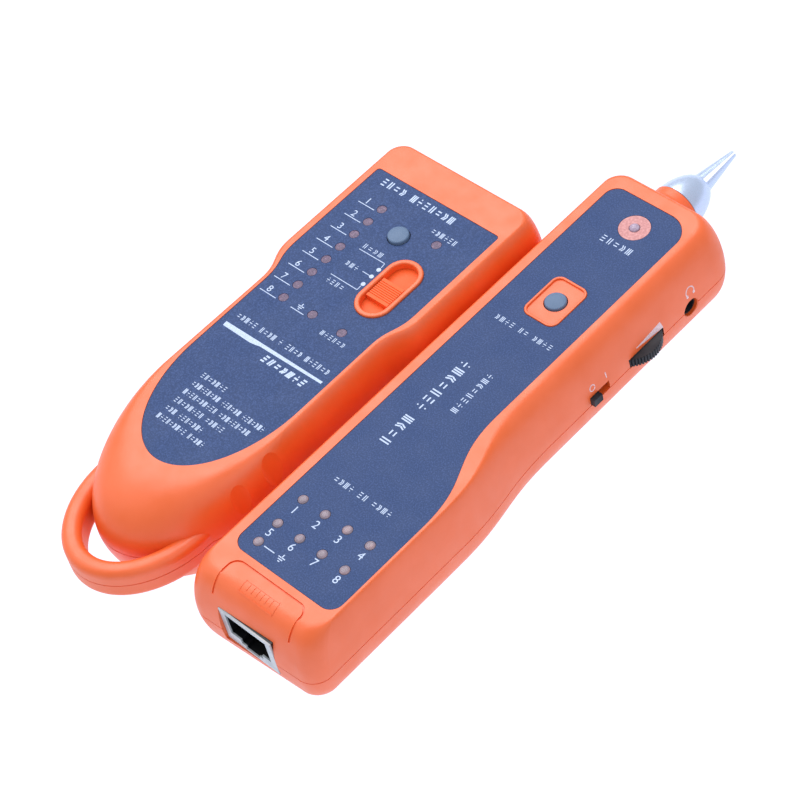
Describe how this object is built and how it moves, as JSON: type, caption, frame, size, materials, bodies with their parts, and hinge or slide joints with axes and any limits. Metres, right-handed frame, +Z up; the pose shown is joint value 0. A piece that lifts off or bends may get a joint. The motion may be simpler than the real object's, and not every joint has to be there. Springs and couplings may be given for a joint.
{
  "type": "cable tone generator and probe kit",
  "caption": "Handheld cable tracing pair lying side by side: an emitter with lamp column, slide switch and carrying loop, and a receiver with a metal listening probe.",
  "frame": {"origin": "middle of the underside of the two tools taken together", "axes": "+Y along the tools, towards the emitter's sockets and the receiver's probe; +X from the emitter to the receiver; +Z up from the surface they lie on"},
  "size_m": [0.0828, 0.1736, 0.0284],
  "materials": {
    "orange_shell": "satin moulded",
    "slate_label": "satin printed film",
    "lamp_lens": "diffused lens",
    "orange_knob": "satin moulded, ribbed",
    "dark_plastic": "satin moulded",
    "button_plastic": "soft touch",
    "switch_body": "moulded",
    "circuit_board": "solder mask",
    "socket_plastic": "moulded",
    "contact_metal": "gold flash",
    "battery_case": "printed metal jacket",
    "red_insulation": "satin",
    "black_insulation": "satin",
    "chip_plastic": "moulded",
    "screw_steel": "zinc plated",
    "window_plastic": "translucent tint",
    "speaker_steel": "pressed",
    "probe_metal": "satin nickel"
  },
  "bodies": {
    "emitter": {"emitter_top_shell": "orange_shell", "emitter_bottom_shell": "orange_shell", "emitter_battery_cover": "orange_shell", "emitter_cover_screw": "screw_steel", "emitter_face_label": "slate_label", "emitter_lamps": "lamp_lens", "emitter_slide_switch": "switch_body", "emitter_button_switch": "switch_body", "emitter_circuit_board": "circuit_board", "emitter_rj45_socket": "socket_plastic", "emitter_rj45_contacts": "contact_metal", "emitter_rj11_socket": "socket_plastic", "emitter_rj11_contacts": "contact_metal", "emitter_battery": "battery_case", "emitter_battery_snap": "dark_plastic", "emitter_red_lead": "red_insulation", "emitter_black_lead": "black_insulation", "emitter_main_chip": "chip_plastic", "emitter_tone_chip": "chip_plastic", "emitter_case_screws": "screw_steel"},
    "emitter_button": {"emitter_button_cap": "button_plastic"},
    "emitter_switch": {"emitter_switch_knob": "orange_knob", "emitter_switch_lever": "dark_plastic"},
    "receiver": {"receiver_top_shell": "orange_shell", "receiver_bottom_shell": "orange_shell", "receiver_battery_cover": "orange_shell", "receiver_cover_screw": "screw_steel", "receiver_face_label": "slate_label", "receiver_lamps": "lamp_lens", "receiver_power_window": "window_plastic", "receiver_power_lamp": "lamp_lens", "receiver_button_switch": "switch_body", "receiver_main_board": "circuit_board", "receiver_lamp_board": "circuit_board", "receiver_rj45_socket": "socket_plastic", "receiver_rj45_contacts": "contact_metal", "receiver_earphone_socket": "dark_plastic", "receiver_volume_control": "dark_plastic", "receiver_power_switch": "switch_body", "receiver_battery": "battery_case", "receiver_battery_snap": "dark_plastic", "receiver_red_lead": "red_insulation", "receiver_black_lead": "black_insulation", "receiver_main_chip": "chip_plastic", "receiver_amplifier_chip": "chip_plastic", "receiver_speaker": "speaker_steel", "receiver_probe": "probe_metal", "receiver_probe_nut": "screw_steel", "receiver_case_screws": "screw_steel"},
    "receiver_button": {"receiver_button_cap": "button_plastic"},
    "receiver_power": {"receiver_power_knob": "dark_plastic"},
    "receiver_volume": {"receiver_volume_wheel": "dark_plastic"}
  },
  "joints": [
    {"name": "emitter_button_press", "type": "slide", "parent": "emitter", "child": "emitter_button", "axis": [0, 0, -1], "range_m": [0, 0.0006], "stiffness_N_per_m": 400, "springref_m": -0.0005},
    {"name": "emitter_switch_slide", "type": "slide", "parent": "emitter", "child": "emitter_switch", "axis": [0, 1, 0], "range_m": [0, 0.0038]},
    {"name": "receiver_lift_off", "type": "slide", "parent": "emitter", "child": "receiver", "axis": [0, 0, 1], "range_m": [0, 0.06]},
    {"name": "receiver_button_press", "type": "slide", "parent": "receiver", "child": "receiver_button", "axis": [0, 0, -1], "range_m": [0, 0.0006], "stiffness_N_per_m": 400, "springref_m": -0.0005},
    {"name": "receiver_power_slide", "type": "slide", "parent": "receiver", "child": "receiver_power", "axis": [0, 1, 0], "range_m": [0, 0.0031]},
    {"name": "receiver_volume_turn", "type": "hinge", "parent": "receiver", "child": "receiver_volume", "pos_m": [0.03404, 0.0305, 0.0141], "axis": [0, 0, 1], "range_deg": [0, 270]}
  ]
}
